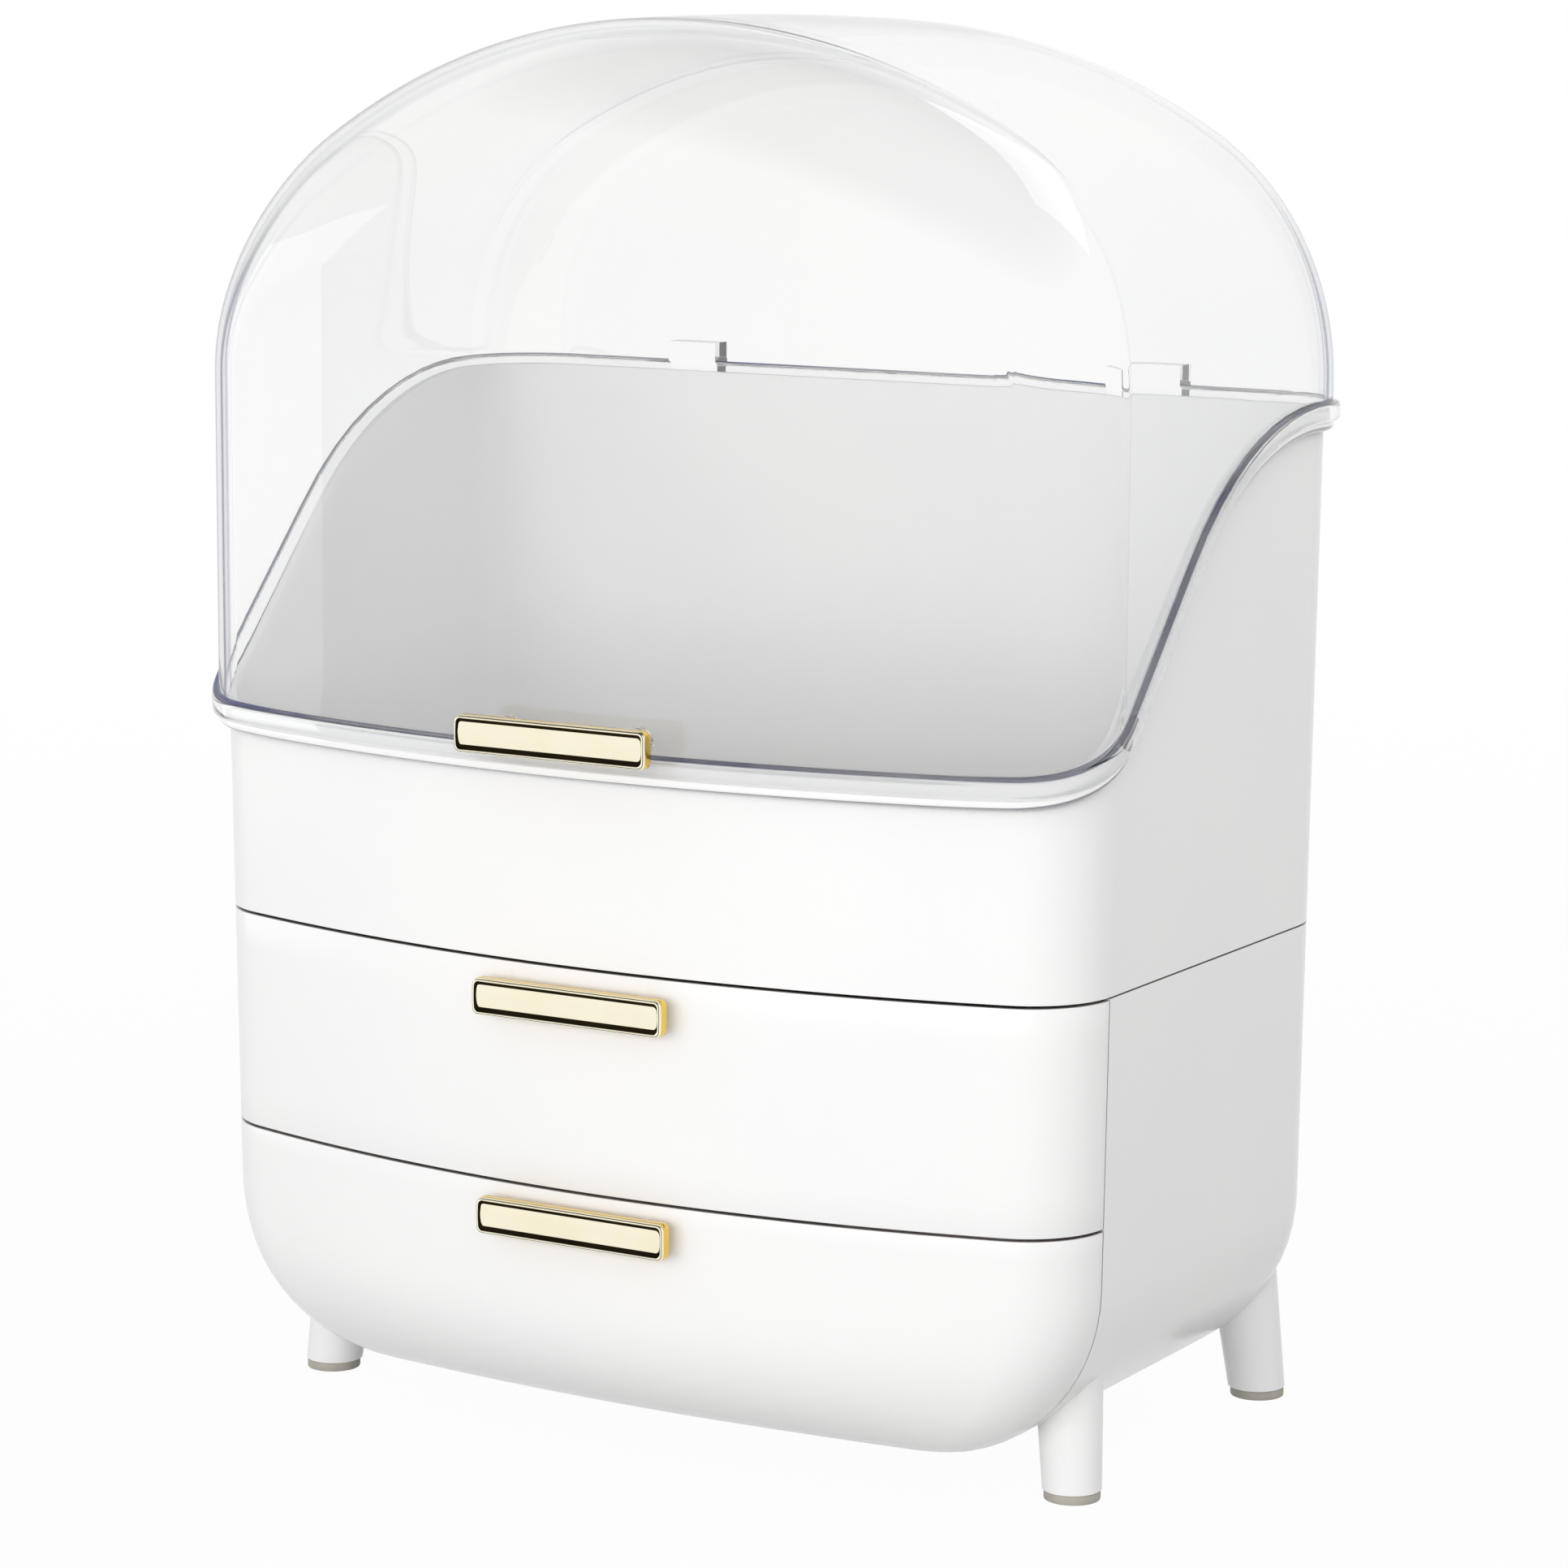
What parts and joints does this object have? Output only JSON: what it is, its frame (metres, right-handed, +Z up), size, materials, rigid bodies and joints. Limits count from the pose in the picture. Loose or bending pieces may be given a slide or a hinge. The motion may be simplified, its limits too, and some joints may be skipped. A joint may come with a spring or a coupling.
{
  "type": "makeup organizer box with drawers",
  "caption": "White cosmetics organizer box with two bowed drawers, an open tray under a hinged clear arched lid, slim gold bar handles and splayed legs.",
  "frame": {"origin": "centre of the bounding box's footprint, on the surface that the pads stand on", "axes": "+X to the right as seen from the front, -Y out of the drawer fronts, +Z up"},
  "size_m": [0.282, 0.2042, 0.3837],
  "materials": {
    "white_plastic": "glossy white moulded plastic",
    "clear_plastic": "clear moulded plastic",
    "gold_metal": "polished champagne gold",
    "steel": "zinc plated",
    "pad_rubber": "matt beige grey"
  },
  "bodies": {
    "cabinet": {"cabinet_shell": "white_plastic", "middle_shelf": "white_plastic", "upper_tray": "white_plastic", "tray_screws": "steel", "front_left_leg": "white_plastic", "front_right_leg": "white_plastic", "rear_left_leg": "white_plastic", "rear_right_leg": "white_plastic", "front_left_pad": "pad_rubber", "front_right_pad": "pad_rubber", "rear_left_pad": "pad_rubber", "rear_right_pad": "pad_rubber", "hinge_pins": "steel"},
    "lid": {"lid_shell": "clear_plastic", "lid_handle": "gold_metal", "lid_handle_screws": "steel"},
    "upper_drawer": {"upper_drawer_front": "white_plastic", "upper_drawer_box": "white_plastic", "upper_drawer_handle": "gold_metal", "upper_drawer_screws": "steel"},
    "lower_drawer": {"lower_drawer_front": "white_plastic", "lower_drawer_box": "white_plastic", "lower_drawer_handle": "gold_metal", "lower_drawer_screws": "steel"}
  },
  "joints": [
    {"name": "lid_hinge", "type": "hinge", "parent": "cabinet", "child": "lid", "pos_m": [0, 0.0975, 0.27], "axis": [-1, 0, 0], "range_deg": [0, 95]},
    {"name": "upper_drawer_slide", "type": "slide", "parent": "cabinet", "child": "upper_drawer", "axis": [0, -1, 0], "range_m": [0, 0.12]},
    {"name": "lower_drawer_slide", "type": "slide", "parent": "cabinet", "child": "lower_drawer", "axis": [0, -1, 0], "range_m": [0, 0.12]}
  ]
}
